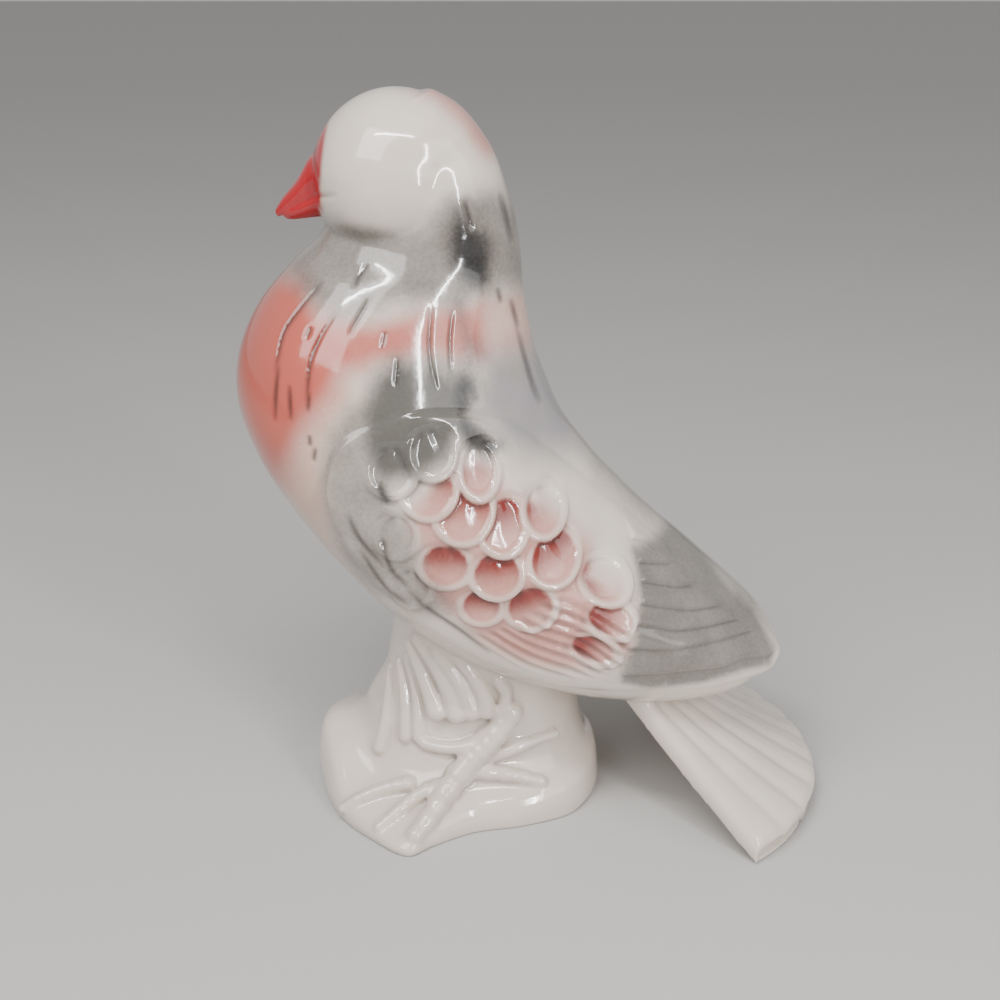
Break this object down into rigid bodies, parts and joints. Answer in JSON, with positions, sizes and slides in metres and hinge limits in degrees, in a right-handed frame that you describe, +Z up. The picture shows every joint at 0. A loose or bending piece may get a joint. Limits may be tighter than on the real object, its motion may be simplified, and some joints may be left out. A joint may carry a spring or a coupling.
{
  "type": "pigeon figurine",
  "caption": "Upright pigeon figurine in glossy glazed ceramic, with scalloped wings, a fan tail that reaches the table and a rounded base with moulded feet.",
  "frame": {"origin": "centre of the bounding box's footprint, on the table plane under the base", "axes": "+Z up; the bird looks along -X and its fan tail runs down along +X; its left side, the one in the picture, faces -Y"},
  "size_m": [0.188, 0.1118, 0.2286],
  "materials": {
    "glaze": "high gloss clear glaze over airbrushed underglaze colours, slightly pearly"
  },
  "bodies": {
    "root": {"pigeon_figurine": "glaze"}
  },
  "joints": []
}
